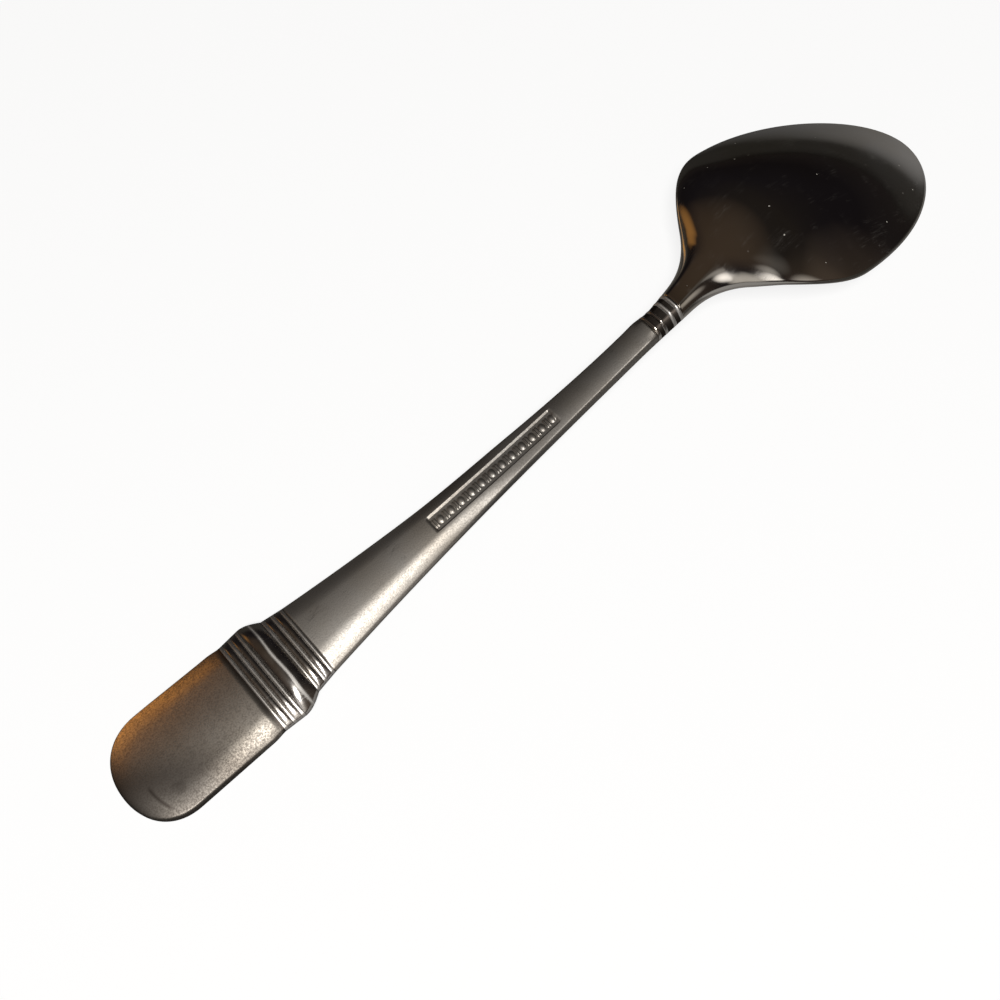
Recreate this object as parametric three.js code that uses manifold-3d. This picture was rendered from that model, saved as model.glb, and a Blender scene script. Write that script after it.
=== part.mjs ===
// A silver-plated teaspoon, face down: it rests on the tip of its bowl and the end of its handle.
// Millimetres, +Z up. Along X the neck is at 0, the tip of the bowl at +X, the end of the handle at -X.
// Behind the neck, places along the handle are given as s, the distance back from the neck.
import * as THREE from 'three';
import { mergeVertices } from 'three/addons/utils/BufferGeometryUtils.js';
import Module from 'manifold-3d';

// Lengths along the spoon
const BOWL_LENGTH = 46.8;
const PLAIN_NECK_LENGTH = 5.5;
const STEM_LENGTH = 64.5;
const TAB_LENGTH = 20.8;

// Outline of the bowl
const BOWL_WIDTH = 32.7;
const BOWL_WIDEST = 18.2; // from the neck to the widest place
const SHOULDER_POWER = 1.68; // roundness of the dome on the neck's side
const TIP_POWER = 1.92; // roundness of the outline on the tip's side
const FILLET_START = -4; // where the outline begins to leave the neck
const FILLET_END = 3; // where the hollow curve turns into the shoulder
const FILLET_WIDTH = 14; // width there
const FILLET_SLOPE = 1.45; // how fast each side leaves the middle there

// Outline of the handle
const NECK_WIDTH = 4.15;
const NECK_FLARE = 0.94; // how far each side of the neck widens where it meets the bowl
const NECK_FLARE_LENGTH = 15; // from the bowl back to where that flare begins
const STEM_END_WIDTH = 12.2;
const UPPER_BAND_WIDTH = 13.3; // at its end by the collar
const COLLAR_WIDTH = 16; // at its end by the lower band
const LOWER_BAND_WIDTH = 15.5; // at its end by the tab
const TAB_WIDTH = 15.9;
const TAB_ROUNDING = 7.1; // length over which the end of the tab closes
const TAB_END_POWER = 2.2;
const TAB_WIDTH_RUN = 2; // length over which the tab takes its own width

// Heights above the table, and thickness
const ARCH_LIFT = 8.05; // rise of the handle's arch from the table to the neck
const ARCH_RUN = 48; // how fast that arch comes down behind the neck
const NECK_RISE = 1.67; // further rise, close to the neck
const NECK_RISE_RUN = 6; // how fast that rise dies out behind the neck
const REST_LENGTH = 5; // flat under the end of the tab
const SHOULDER_LIFT = 12.8; // rim at the shoulders
const SHOULDER_PLACE = 6.6; // from the neck to the highest place of the rim
const WIDEST_LIFT = 9.1; // rim at the widest place
const WIDEST_SLOPE = 0.28; // fall of the rim towards the tip, at the widest place
const TIP_SLOPE = 0.27; // the same at the tip
const NECK_THICKNESS = 2.3;
const TAB_THICKNESS = 1.55;
const THINNING_RUN = 25; // how fast the handle thins behind the neck
const RIM_THICKNESS = 0.76;
const RIM_RUN = 10.5; // length over which the neck thins to the rim
const BACK_CROWN = 0.86; // rise of the back over its edges, at the tab
const EDGE_CHAMFER = 0.25; // along the front's edges

// Hollow of the bowl
const BOWL_DEPTH = 7.05; // back of the bowl over its rim
const BOWL_WALL = 1.2;
const RIM_LAND = 1.1;
const RIM_LIP = 0.25; // upright inner edge of the rim
const HOLLOW_START = 5.5; // from the neck to the hollow
const BACK_POWER = 1.08; // section of the bowl
const HEEL_POWER = 0.84; // section of the bowl at the heel, which is fuller
const HEEL_LENGTH = 24; // from the shoulders to where the heel's shape ends
const HOLLOW_HEEL_POWER = 2;
const HOLLOW_RISE_POWER = 1.6;
const CREST_START = 5.5; // the heel's curve begins this far behind the neck
const CREST_END = 12.9; // and ends on the bowl this far in front of it

// Sunken panel in the back of the stem
const PANEL_START = 18.8; // from the start of the stem
const PANEL_LENGTH = 23.1;
const PANEL_WIDTH = 2.4;
const PANEL_DEPTH = 0.35;

// Struck bands: threads are thin and reeds are broad half-rounds across the handle
const GROOVE_DEPTH = 0.18;
const GROOVE_SLOPE = 0.25; // length of the slope from the stem or the neck into a groove
const NECK_THREAD = 0.55;
const NECK_THREAD_HEIGHT = 0.22;
const NECK_INNER_GAP = 0.73; // flat between the threads of a pair
const NECK_MIDDLE_GAP = 1.09; // flat between the two pairs
const THREAD = 0.46;
const THREAD_HEIGHT = 0.06;
const UPPER_REED = 0.94;
const LOWER_REED = 0.92;
const REED_HEIGHT = 0.12;
const COLLAR_LENGTH = 3.15;
const COLLAR_HEIGHT = 0.75;
const TAB_COVE = 0.9; // hollow curve from the last groove up to the tab
const FRONT_RELIEF = 0.5; // the front carries the same bands at this share of their height

// Fineness of the surfaces
const BACK_POINTS = 11;
const FRONT_POINTS = 5;
const ROLL_STEPS = 4;

// Colours
const POLISHED = new THREE.MeshStandardMaterial({ color: 0x8d8780, roughness: 0.12, metalness: 1 });
const SATIN = new THREE.MeshStandardMaterial({ color: 0x9a9389, roughness: 0.42, metalness: 1 });

const { lerp, smoothstep } = THREE.MathUtils;

// Rolls of each band, in order from the bowl to the end of the handle
const neckThread = { length: NECK_THREAD, height: NECK_THREAD_HEIGHT };
const thread = { length: THREAD, height: THREAD_HEIGHT };
const neckGap = (length) => ({ length, height: -GROOVE_DEPTH });
const NECK_ROLLS = [
  neckThread, neckGap(NECK_INNER_GAP), neckThread, neckGap(NECK_MIDDLE_GAP),
  neckThread, neckGap(NECK_INNER_GAP), neckThread,
];
const reedBand = (reed) => {
  const roll = { length: reed, height: REED_HEIGHT };
  return [thread, roll, thread, roll, thread];
};
const UPPER_ROLLS = reedBand(UPPER_REED);
const COLLAR_ROLLS = [{ length: COLLAR_LENGTH, height: COLLAR_HEIGHT }];
const LOWER_ROLLS = reedBand(LOWER_REED);

// Places of the regions along the handle
const bandLength = (rolls) => rolls.reduce((sum, roll) => sum + roll.length, 0);
const NECK_BAND_START = PLAIN_NECK_LENGTH;
const STEM_START = NECK_BAND_START + bandLength(NECK_ROLLS);
const UPPER_BAND_START = STEM_START + STEM_LENGTH;
const COLLAR_START = UPPER_BAND_START + bandLength(UPPER_ROLLS);
const LOWER_BAND_START = COLLAR_START + COLLAR_LENGTH;
const TAB_START = LOWER_BAND_START + bandLength(LOWER_ROLLS);
const HANDLE_LENGTH = TAB_START + TAB_LENGTH;

// Each roll with the place where it starts
function placed(rolls, start) {
  let place = start;
  return rolls.map((roll) => {
    const from = place;
    place += roll.length;
    return { ...roll, from, to: place };
  });
}
const ROLLS = [
  ...placed(NECK_ROLLS, NECK_BAND_START),
  ...placed(UPPER_ROLLS, UPPER_BAND_START),
  ...placed(COLLAR_ROLLS, COLLAR_START),
  ...placed(LOWER_ROLLS, LOWER_BAND_START),
];

// Height of the struck relief over the plain back, at s behind the neck
function relief(s) {
  if (s >= TAB_START) return -GROOVE_DEPTH * (1 - smoothstep(s, TAB_START, TAB_START + TAB_COVE));
  const roll = ROLLS.find(({ from, to }) => s >= from && s < to);
  if (roll) {
    const across = (2 * (s - roll.from)) / roll.length - 1;
    return -GROOVE_DEPTH + (roll.height + GROOVE_DEPTH) * Math.sqrt(Math.max(0, 1 - across * across));
  }
  const grooves = [NECK_BAND_START, STEM_START, UPPER_BAND_START];
  const toGroove = Math.min(...grooves.map((groove) => Math.abs(s - groove)));
  return -GROOVE_DEPTH * Math.max(0, 1 - toGroove / GROOVE_SLOPE);
}

// Cubic between two heights with given slopes, u from 0 to 1 over a length
function cubic(u, from, fromSlope, to, toSlope, length) {
  const u2 = u * u;
  const u3 = u2 * u;
  const ends = from * (1 - 3 * u2 + 2 * u3) + to * (3 * u2 - 2 * u3);
  return ends + length * (fromSlope * (u - 2 * u2 + u3) + toSlope * (u3 - u2));
}

// One side of a rounded outline: 1 at the widest place, 0 at the end
const roundedSide = (reach, power) => Math.max(0, 1 - reach ** power) ** (1 / power);

// Half width of the handle
function handleHalfWidth(s) {
  let width = lerp(LOWER_BAND_WIDTH, TAB_WIDTH, smoothstep(s, TAB_START, TAB_START + TAB_WIDTH_RUN));
  if (s < UPPER_BAND_START) {
    const along = Math.max(0, s - STEM_START) / STEM_LENGTH;
    width = lerp(NECK_WIDTH, STEM_END_WIDTH, along * along);
  } else if (s < COLLAR_START) {
    const along = (s - UPPER_BAND_START) / (COLLAR_START - UPPER_BAND_START);
    width = lerp(STEM_END_WIDTH, UPPER_BAND_WIDTH, along);
  } else if (s < LOWER_BAND_START) {
    const along = (s - COLLAR_START) / COLLAR_LENGTH;
    width = lerp(UPPER_BAND_WIDTH, COLLAR_WIDTH, Math.sin((along * Math.PI) / 2));
  } else if (s < TAB_START) {
    const along = (s - LOWER_BAND_START) / (TAB_START - LOWER_BAND_START);
    width = lerp(COLLAR_WIDTH, LOWER_BAND_WIDTH, along);
  }
  const toEnd = Math.max(0, HANDLE_LENGTH - s);
  const closing = toEnd < TAB_ROUNDING ? roundedSide(1 - toEnd / TAB_ROUNDING, TAB_END_POWER) : 1;
  return (width / 2) * closing;
}

// Share of the bowl's half width, 1 at its widest place
function bowlShare(x, start, end, neckPower) {
  if (x <= start || x >= end) return 0;
  if (x > BOWL_WIDEST) return roundedSide((x - BOWL_WIDEST) / (end - BOWL_WIDEST), TIP_POWER);
  return roundedSide((BOWL_WIDEST - x) / (BOWL_WIDEST - start), neckPower);
}

// Half width of the neck, which flares a little towards the bowl
function neckHalfWidth(x) {
  const flare = Math.max(0, 1 + x / NECK_FLARE_LENGTH);
  return handleHalfWidth(-x) + NECK_FLARE * flare ** 2;
}

function halfWidth(x) {
  if (x > BOWL_WIDEST) return (BOWL_WIDTH / 2) * bowlShare(x, 0, BOWL_LENGTH, SHOULDER_POWER);
  if (x > FILLET_END) {
    const length = BOWL_WIDEST - FILLET_END;
    return cubic((x - FILLET_END) / length, FILLET_WIDTH / 2, FILLET_SLOPE, BOWL_WIDTH / 2, 0, length);
  }
  if (x < FILLET_START) return neckHalfWidth(x);
  const length = FILLET_END - FILLET_START;
  const neckSlope = (2 * NECK_FLARE * (1 + FILLET_START / NECK_FLARE_LENGTH)) / NECK_FLARE_LENGTH;
  const along = (x - FILLET_START) / length;
  return cubic(along, neckHalfWidth(FILLET_START), neckSlope, FILLET_WIDTH / 2, FILLET_SLOPE, length);
}

// Height of the front, which faces the table: the handle's face, then the rim of the bowl
const REST_START = HANDLE_LENGTH - REST_LENGTH;
const ARCH_LEFT = Math.exp(-REST_START / ARCH_RUN);
function frontHeight(x) {
  if (x <= -REST_START) return 0;
  if (x <= 0) {
    const arch = (Math.exp(x / ARCH_RUN) - ARCH_LEFT) / (1 - ARCH_LEFT);
    return ARCH_LIFT * arch + NECK_RISE * Math.exp(x / NECK_RISE_RUN);
  }
  if (x < SHOULDER_PLACE) {
    const slope = ARCH_LIFT / ARCH_RUN / (1 - ARCH_LEFT) + NECK_RISE / NECK_RISE_RUN;
    return cubic(x / SHOULDER_PLACE, ARCH_LIFT + NECK_RISE, slope, SHOULDER_LIFT, 0, SHOULDER_PLACE);
  }
  if (x < BOWL_WIDEST) {
    const length = BOWL_WIDEST - SHOULDER_PLACE;
    return cubic((x - SHOULDER_PLACE) / length, SHOULDER_LIFT, 0, WIDEST_LIFT, -WIDEST_SLOPE, length);
  }
  const length = BOWL_LENGTH - BOWL_WIDEST;
  return cubic((x - BOWL_WIDEST) / length, WIDEST_LIFT, -WIDEST_SLOPE, 0, -TIP_SLOPE, length);
}

// Height of the side, from the front's edge to the back's edge
function sideHeight(x) {
  if (x > 0) return lerp(NECK_THICKNESS, RIM_THICKNESS, smoothstep(x, 0, RIM_RUN));
  return lerp(TAB_THICKNESS, NECK_THICKNESS, Math.exp(x / THINNING_RUN));
}

const heelShare = (x) => 1 - smoothstep(x, SHOULDER_PLACE, SHOULDER_PLACE + HEEL_LENGTH);

// Rise of the back's middle line over its edges, without the heel
function plainRise(x) {
  if (x > 0) return BOWL_DEPTH * bowlShare(x, 0, BOWL_LENGTH, SHOULDER_POWER) ** (2 * BACK_POWER);
  return (BACK_CROWN * handleHalfWidth(-x)) / (TAB_WIDTH / 2);
}

// The heel is one smooth curve along the back's middle line, from the neck up to the bowl
const SLOPE_STEP = 0.1;
const plainCrest = (x) => frontHeight(x) + sideHeight(x) + plainRise(x);
const crestSlope = (x) => (plainCrest(x + SLOPE_STEP) - plainCrest(x - SLOPE_STEP)) / (2 * SLOPE_STEP);
function heelCrest(x) {
  const length = CREST_START + CREST_END;
  const start = plainCrest(-CREST_START);
  const end = plainCrest(CREST_END);
  const along = (x + CREST_START) / length;
  return cubic(along, start, crestSlope(-CREST_START), end, crestSlope(CREST_END), length);
}

// Rise of the back's middle line over its edges
function backRise(x) {
  if (x <= -CREST_START || x >= CREST_END) return plainRise(x);
  return heelCrest(x) - frontHeight(x) - sideHeight(x);
}

// Height of the back over its edge, at n from -1 to 1 across the spoon
function backHeight(x, n) {
  const bowlPower = lerp(BACK_POWER, HEEL_POWER, heelShare(x));
  const neckPower = lerp(1, HEEL_POWER, smoothstep(x, -CREST_START, 0));
  const power = x > 0 ? bowlPower : neckPower;
  const plain = backRise(x) * Math.max(0, 1 - n * n) ** power;
  return plain + (x < 0 ? relief(-x) * (1 - n ** 4) : 0);
}

// Closed section of the spoon across X: over the back, then back along the front
function sectionAt(x) {
  const half = halfWidth(x);
  const front = frontHeight(x);
  const edge = front + sideHeight(x);
  const chamfer = Math.min(EDGE_CHAMFER, half / 3);
  const points = [];
  for (let i = 0; i < BACK_POINTS; i++) {
    const n = Math.sin(lerp(-Math.PI / 2, Math.PI / 2, i / (BACK_POINTS - 1)));
    points.push(new THREE.Vector3(x, n * half, edge + backHeight(x, n)));
  }
  points.push(new THREE.Vector3(x, half, front + chamfer));
  const struck = x < 0 ? relief(-x) * FRONT_RELIEF : 0;
  for (let i = 0; i < FRONT_POINTS; i++) {
    const n = lerp(1, -1, i / (FRONT_POINTS - 1));
    points.push(new THREE.Vector3(x, n * (half - chamfer), front - struck * (1 - n ** 4)));
  }
  points.push(new THREE.Vector3(x, -half, front + chamfer));
  return points;
}

// Solid through a row of sections with as many points each, closed at both ends
const MERGE_DISTANCE = 1e-4;
function loft(sections) {
  const count = sections[0].length;
  const positions = sections.flat().flatMap((point) => point.toArray());
  const triangles = [];
  for (let k = 0; k < sections.length - 1; k++) {
    for (let i = 0; i < count; i++) {
      const a = k * count + i;
      const b = k * count + ((i + 1) % count);
      triangles.push([a, a + count, b], [b, a + count, b + count]);
    }
  }
  const cap = (section, first, turned) => {
    const outline = section.map((point) => new THREE.Vector2(point.y, point.z));
    for (const [a, b, c] of THREE.ShapeUtils.triangulateShape(outline, [])) {
      triangles.push(turned ? [first + a, first + c, first + b] : [first + a, first + b, first + c]);
    }
  };
  const closes = (section) => section.every((point) => point.y === section[0].y);
  const last = sections.length - 1;
  if (!closes(sections[0])) cap(sections[0], 0, true);
  if (!closes(sections[last])) cap(sections[last], last * count, false);
  const geometry = new THREE.BufferGeometry();
  geometry.setAttribute('position', new THREE.Float32BufferAttribute(positions, 3));
  geometry.setIndex(triangles.flat());
  return withoutSlivers(mergeVertices(geometry, MERGE_DISTANCE));
}

// The same geometry without triangles that have shrunk to a line
function withoutSlivers(geometry) {
  const index = geometry.index.array;
  const kept = [];
  for (let i = 0; i < index.length; i += 3) {
    const [a, b, c] = index.slice(i, i + 3);
    if (a !== b && b !== c && c !== a) kept.push(a, b, c);
  }
  geometry.setIndex(kept);
  return geometry;
}

// Cuts one solid out of another
const wasm = await Module();
wasm.setup();
function solidOf(geometry) {
  return new wasm.Manifold(new wasm.Mesh({
    numProp: 3,
    vertProperties: new Float32Array(geometry.attributes.position.array),
    triVerts: new Uint32Array(geometry.index.array),
  }));
}
function cutOut(body, cutter) {
  const mesh = solidOf(body).subtract(solidOf(cutter)).getMesh();
  const geometry = new THREE.BufferGeometry();
  geometry.setAttribute('position', new THREE.Float32BufferAttribute(mesh.vertProperties, 3));
  geometry.setIndex([...mesh.triVerts]);
  return geometry;
}

// Evenly spaced places from one end to the other
const evenly = (from, to, steps) => Array.from({ length: steps + 1 }, (_, i) => lerp(from, to, i / steps));

// Places from one end to the other that crowd towards the far end, where an outline closes
const crowding = (from, to, steps) => evenly(0, Math.PI / 2, steps).map((a) => lerp(from, to, Math.sin(a)));

const lofted = (places) => loft(places.map(sectionAt));

// Bowl, with its neck up to the first groove
const NECK_STEPS = 10;
const SHOULDER_STEPS = 9;
const TIP_STEPS = 13;
function bowl() {
  const outer = lofted([
    -NECK_BAND_START,
    -NECK_BAND_START + GROOVE_SLOPE,
    ...evenly(-NECK_BAND_START + 2 * GROOVE_SLOPE, SHOULDER_PLACE, NECK_STEPS),
    ...evenly(SHOULDER_PLACE, BOWL_WIDEST, SHOULDER_STEPS).slice(1),
    ...crowding(BOWL_WIDEST, BOWL_LENGTH, TIP_STEPS).slice(1),
  ]);
  return cutOut(outer, bowlHollow());
}

// Hollow of the bowl, carried on below the rim so that it opens it
const HOLLOW_HEEL_STEPS = 9;
const HOLLOW_OVERSHOOT = 3;
function bowlHollow() {
  const end = BOWL_LENGTH - RIM_LAND;
  const places = [
    ...crowding(BOWL_WIDEST, HOLLOW_START, HOLLOW_HEEL_STEPS).reverse(),
    ...crowding(BOWL_WIDEST, end, TIP_STEPS).slice(1),
  ];
  return loft(places.map((x) => {
    const share = bowlShare(x, HOLLOW_START, end, HOLLOW_HEEL_POWER);
    const half = (BOWL_WIDTH / 2 - RIM_LAND) * share;
    const rim = frontHeight(x);
    const lip = rim + RIM_LIP;
    const depth = (BOWL_DEPTH + RIM_THICKNESS - BOWL_WALL - RIM_LIP)
      * share ** lerp(2 * BACK_POWER, HOLLOW_RISE_POWER, heelShare(x));
    const points = [];
    for (let i = 0; i < BACK_POINTS; i++) {
      const n = Math.sin(lerp(-Math.PI / 2, Math.PI / 2, i / (BACK_POINTS - 1)));
      points.push(new THREE.Vector3(x, n * half, lip + depth * Math.max(0, 1 - n * n) ** BACK_POWER));
    }
    points.push(new THREE.Vector3(x, half, rim - HOLLOW_OVERSHOOT));
    points.push(new THREE.Vector3(x, -half, rim - HOLLOW_OVERSHOOT));
    return points;
  }));
}

// A struck band: every roll takes a few steps that crowd into its grooves
function band(rolls, start) {
  const places = [-start];
  for (const { from, length, height } of placed(rolls, start)) {
    const steps = height > 0 ? ROLL_STEPS : 1;
    for (const a of evenly(0, Math.PI, steps).slice(1)) {
      places.push(-(from + (length * (1 - Math.cos(a))) / 2));
    }
  }
  return lofted(places.reverse());
}

// Stem, with the sunken panel in its back
const STEM_STEPS = 20;
const PANEL_STEPS = 6;
function stem() {
  const places = [
    -UPPER_BAND_START,
    ...evenly(-UPPER_BAND_START + GROOVE_SLOPE, -STEM_START - GROOVE_SLOPE, STEM_STEPS),
    -STEM_START,
  ];
  return cutOut(lofted(places), panelCutter());
}
const PANEL_OVERSHOOT = 1;
function panelCutter() {
  const near = -STEM_START - PANEL_START;
  return loft(evenly(near - PANEL_LENGTH, near, PANEL_STEPS).map((x) => {
    const back = frontHeight(x) + sideHeight(x) + backRise(x);
    const floor = back - PANEL_DEPTH;
    const top = back + PANEL_OVERSHOOT;
    const half = PANEL_WIDTH / 2;
    return [
      new THREE.Vector3(x, -half, top), new THREE.Vector3(x, half, top),
      new THREE.Vector3(x, half, floor), new THREE.Vector3(x, -half, floor),
    ];
  }));
}

// End of the handle, flat under its last part where it meets the table
const COVE_STEPS = 3;
const TAB_STEPS = 6;
const TAB_END_STEPS = 8;
function endTab() {
  const start = -TAB_START;
  const end = -HANDLE_LENGTH;
  const places = new Set([
    ...evenly(start, start - TAB_COVE, COVE_STEPS),
    ...evenly(start - TAB_COVE, end + TAB_ROUNDING, TAB_STEPS),
    -REST_START,
    ...crowding(end + TAB_ROUNDING, end, TAB_END_STEPS),
  ]);
  return lofted([...places].sort((a, b) => a - b));
}

const spoon = new THREE.Group();
function add(name, geometry, material) {
  geometry.computeVertexNormals();
  const mesh = new THREE.Mesh(geometry, material);
  mesh.name = name;
  spoon.add(mesh);
}
add('bowl', bowl(), POLISHED);
add('neck_band', band(NECK_ROLLS, NECK_BAND_START), POLISHED);
add('stem', stem(), SATIN);
add('upper_band', band(UPPER_ROLLS, UPPER_BAND_START), POLISHED);
add('collar', band(COLLAR_ROLLS, COLLAR_START), POLISHED);
add('lower_band', band(LOWER_ROLLS, LOWER_BAND_START), POLISHED);
add('end_tab', endTab(), SATIN);

// The origin is on the table, under the middle of the spoon's length
spoon.position.x = (HANDLE_LENGTH - BOWL_LENGTH) / 2;

export default spoon;
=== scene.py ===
import math

import bmesh
import bpy
from mathutils import Matrix, Vector


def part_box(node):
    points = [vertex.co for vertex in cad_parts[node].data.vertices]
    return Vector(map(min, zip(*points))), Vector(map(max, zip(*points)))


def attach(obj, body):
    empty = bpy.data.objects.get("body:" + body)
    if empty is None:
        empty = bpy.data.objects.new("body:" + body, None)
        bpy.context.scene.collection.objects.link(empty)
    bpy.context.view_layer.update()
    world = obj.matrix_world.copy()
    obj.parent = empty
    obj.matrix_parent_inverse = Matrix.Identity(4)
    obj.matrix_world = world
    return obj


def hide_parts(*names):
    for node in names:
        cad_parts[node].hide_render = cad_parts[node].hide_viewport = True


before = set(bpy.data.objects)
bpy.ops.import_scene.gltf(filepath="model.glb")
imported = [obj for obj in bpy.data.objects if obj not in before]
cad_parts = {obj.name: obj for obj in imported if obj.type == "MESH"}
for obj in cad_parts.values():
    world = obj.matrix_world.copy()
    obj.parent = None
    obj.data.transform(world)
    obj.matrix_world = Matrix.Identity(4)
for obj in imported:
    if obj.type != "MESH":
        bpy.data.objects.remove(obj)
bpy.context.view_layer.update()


# Bowl
# Dished oval with a full heel, a thin rim and a plain neck behind it. Like the whole spoon it is nickel
# silver, struck between two dies from one blank with the handle, and then plated with silver. The plate is
# polished to a mirror, and has hairline scratches from washing, dull smudges and a few specks of dust.

# Sizes are in millimetres. x runs from the neck to the tip, and s from the neck back along the handle.
MM = 0.001
BOWL_LENGTH = 46.8
BOWL_WIDEST = 18.2
BOWL_DEPTH = 7.05
BOWL_WALL = 1.2
SHOULDER_POWER = 1.68
TIP_POWER = 1.92
FILLET_START = -4.0
FILLET_END = 3.0
FILLET_HALF = 7.0
FILLET_SLOPE = 1.45
NECK_HALF = 2.075
NECK_FLARE = 0.94
NECK_FLARE_LENGTH = 15.0

bowl_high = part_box("bowl")[1] / MM
tab_low, tab_high = (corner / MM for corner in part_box("end_tab"))
NECK = bowl_high.x - BOWL_LENGTH
HANDLE_LENGTH = NECK - tab_low.x
BOWL_HALF = bowl_high.y
TAB_HALF = tab_high.y


def behind_neck(node):
    """Where a CAD node starts and ends, as distances behind the neck."""
    low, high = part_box(node)
    return NECK - high.x / MM, NECK - low.x / MM


NECK_BAND_START, STEM_START = behind_neck("neck_band")


def mix(a, b, share):
    return a + (b - a) * share


def ease(value, start, end):
    """0 before start, 1 after end, smooth between them."""
    share = min(1.0, max(0.0, (value - start) / (end - start)))
    return share * share * (3 - 2 * share)


def rounded_side(reach, power):
    """One side of a rounded outline: 1 at its widest place, 0 at its end."""
    return max(0.0, 1 - reach ** power) ** (1 / power)


def cubic(share, start, start_slope, end, end_slope, length):
    """Height between two heights with given slopes."""
    two, three = share ** 2, share ** 3
    ends = start * (1 - 3 * two + 2 * three) + end * (3 * two - 2 * three)
    return ends + length * (start_slope * (share - 2 * two + three) + end_slope * (three - two))


def bowl_share(x, start, end, neck_power):
    """Share of the bowl's half width, 1 at its widest place."""
    if x <= start or x >= end:
        return 0.0
    if x > BOWL_WIDEST:
        return rounded_side((x - BOWL_WIDEST) / (end - BOWL_WIDEST), TIP_POWER)
    return rounded_side((BOWL_WIDEST - x) / (BOWL_WIDEST - start), neck_power)


def plain_neck(s):
    return NECK_HALF


# Half widths of the handle, stretch by stretch, as (where the stretch starts, its half width at s)
handle_widths = [(0.0, plain_neck)]


def handle_half(s):
    """Half width of the handle, from the last stretch that has started at s."""
    started = [half_at for start, half_at in handle_widths if start <= s]
    return started[-1](s)


def neck_half(x):
    """Half width of the neck, which flares a little towards the bowl."""
    return handle_half(-x) + NECK_FLARE * max(0.0, 1 + x / NECK_FLARE_LENGTH) ** 2


def half_width(x):
    if x > BOWL_WIDEST:
        return BOWL_HALF * bowl_share(x, 0, BOWL_LENGTH, SHOULDER_POWER)
    if x > FILLET_END:
        length = BOWL_WIDEST - FILLET_END
        return cubic((x - FILLET_END) / length, FILLET_HALF, FILLET_SLOPE, BOWL_HALF, 0, length)
    if x < FILLET_START:
        return neck_half(x)
    length = FILLET_END - FILLET_START
    neck_slope = 2 * NECK_FLARE * (1 + FILLET_START / NECK_FLARE_LENGTH) / NECK_FLARE_LENGTH
    share = (x - FILLET_START) / length
    return cubic(share, neck_half(FILLET_START), neck_slope, FILLET_HALF, FILLET_SLOPE, length)


# The front faces the table. The handle arches up from its end, and the rim falls from shoulders to tip.
ARCH_LIFT = 8.05
ARCH_RUN = 48.0
NECK_RISE = 1.67
NECK_RISE_RUN = 6.0
REST_LENGTH = 5.0
SHOULDER_LIFT = 12.8
SHOULDER_PLACE = 6.6
WIDEST_LIFT = 9.1
WIDEST_SLOPE = 0.28
TIP_SLOPE = 0.27
REST_START = HANDLE_LENGTH - REST_LENGTH
ARCH_LEFT = math.exp(-REST_START / ARCH_RUN)


def front_height(x):
    if x <= -REST_START:
        return 0.0
    if x <= 0:
        arch = (math.exp(x / ARCH_RUN) - ARCH_LEFT) / (1 - ARCH_LEFT)
        return ARCH_LIFT * arch + NECK_RISE * math.exp(x / NECK_RISE_RUN)
    if x < SHOULDER_PLACE:
        slope = ARCH_LIFT / ARCH_RUN / (1 - ARCH_LEFT) + NECK_RISE / NECK_RISE_RUN
        lift = ARCH_LIFT + NECK_RISE
        return cubic(x / SHOULDER_PLACE, lift, slope, SHOULDER_LIFT, 0, SHOULDER_PLACE)
    if x < BOWL_WIDEST:
        length = BOWL_WIDEST - SHOULDER_PLACE
        share = (x - SHOULDER_PLACE) / length
        return cubic(share, SHOULDER_LIFT, 0, WIDEST_LIFT, -WIDEST_SLOPE, length)
    length = BOWL_LENGTH - BOWL_WIDEST
    share = (x - BOWL_WIDEST) / length
    return cubic(share, WIDEST_LIFT, -WIDEST_SLOPE, 0, -TIP_SLOPE, length)


NECK_THICKNESS = 2.3
TAB_THICKNESS = 1.55
THINNING_RUN = 25.0
RIM_THICKNESS = 0.76
RIM_RUN = 10.5
BACK_CROWN = 0.86


def side_height(x):
    """Thickness of the spoon at its edge."""
    if x > 0:
        return mix(NECK_THICKNESS, RIM_THICKNESS, ease(x, 0, RIM_RUN))
    return mix(TAB_THICKNESS, NECK_THICKNESS, math.exp(x / THINNING_RUN))


def crown(x):
    """Rise of the back's middle over its edges."""
    return BACK_CROWN * handle_half(max(0.0, -x)) / TAB_HALF


def inside_oval(along, across, length, half, power):
    """Distance from a point in a rounded end to its outline."""
    reach = ((along / length) ** power + (across / half) ** power) ** (1 / power)
    steepness = math.hypot((along / length) ** (power - 1) / length, (across / half) ** (power - 1) / half)
    return max(0.0, (1 - reach) * reach ** (power - 1) / steepness)


def from_outline(x, y):
    """Distance from a point to the spoon's outline, seen from above."""
    if x > BOWL_WIDEST:
        return inside_oval(x - BOWL_WIDEST, abs(y), BOWL_LENGTH - BOWL_WIDEST, BOWL_HALF, TIP_POWER)
    step = 0.05
    slant = (half_width(x + step) - half_width(x - step)) / (2 * step)
    return max(0.0, (half_width(x) - abs(y)) / math.hypot(1, slant))


EDGE_RADIUS = 0.3
BACK_ROUNDING = 3.4
ROUNDING_OF_WIDTH = 0.6
NECK_ROUNDING = 0.65
BOWL_CRISP = (0.0, 15.0)
STEM_CRISP = (8.0, 12.0)


def neck_rounding(x):
    """Reach and fall of the back towards its edge: broad at the neck, none on the bowl and the stem."""
    reach = min(BACK_ROUNDING, ROUNDING_OF_WIDTH * half_width(x))
    crisp = max(ease(x, *BOWL_CRISP), ease(-x, *STEM_CRISP))
    return reach, NECK_ROUNDING * side_height(x) * (1 - crisp)


def edge_fall(distance):
    """How far the small radius along an edge has fallen away."""
    inside = min(1.0, distance / EDGE_RADIUS)
    return EDGE_RADIUS * (1 - math.sqrt(max(0.0, 1 - (1 - inside) ** 2)))


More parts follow.
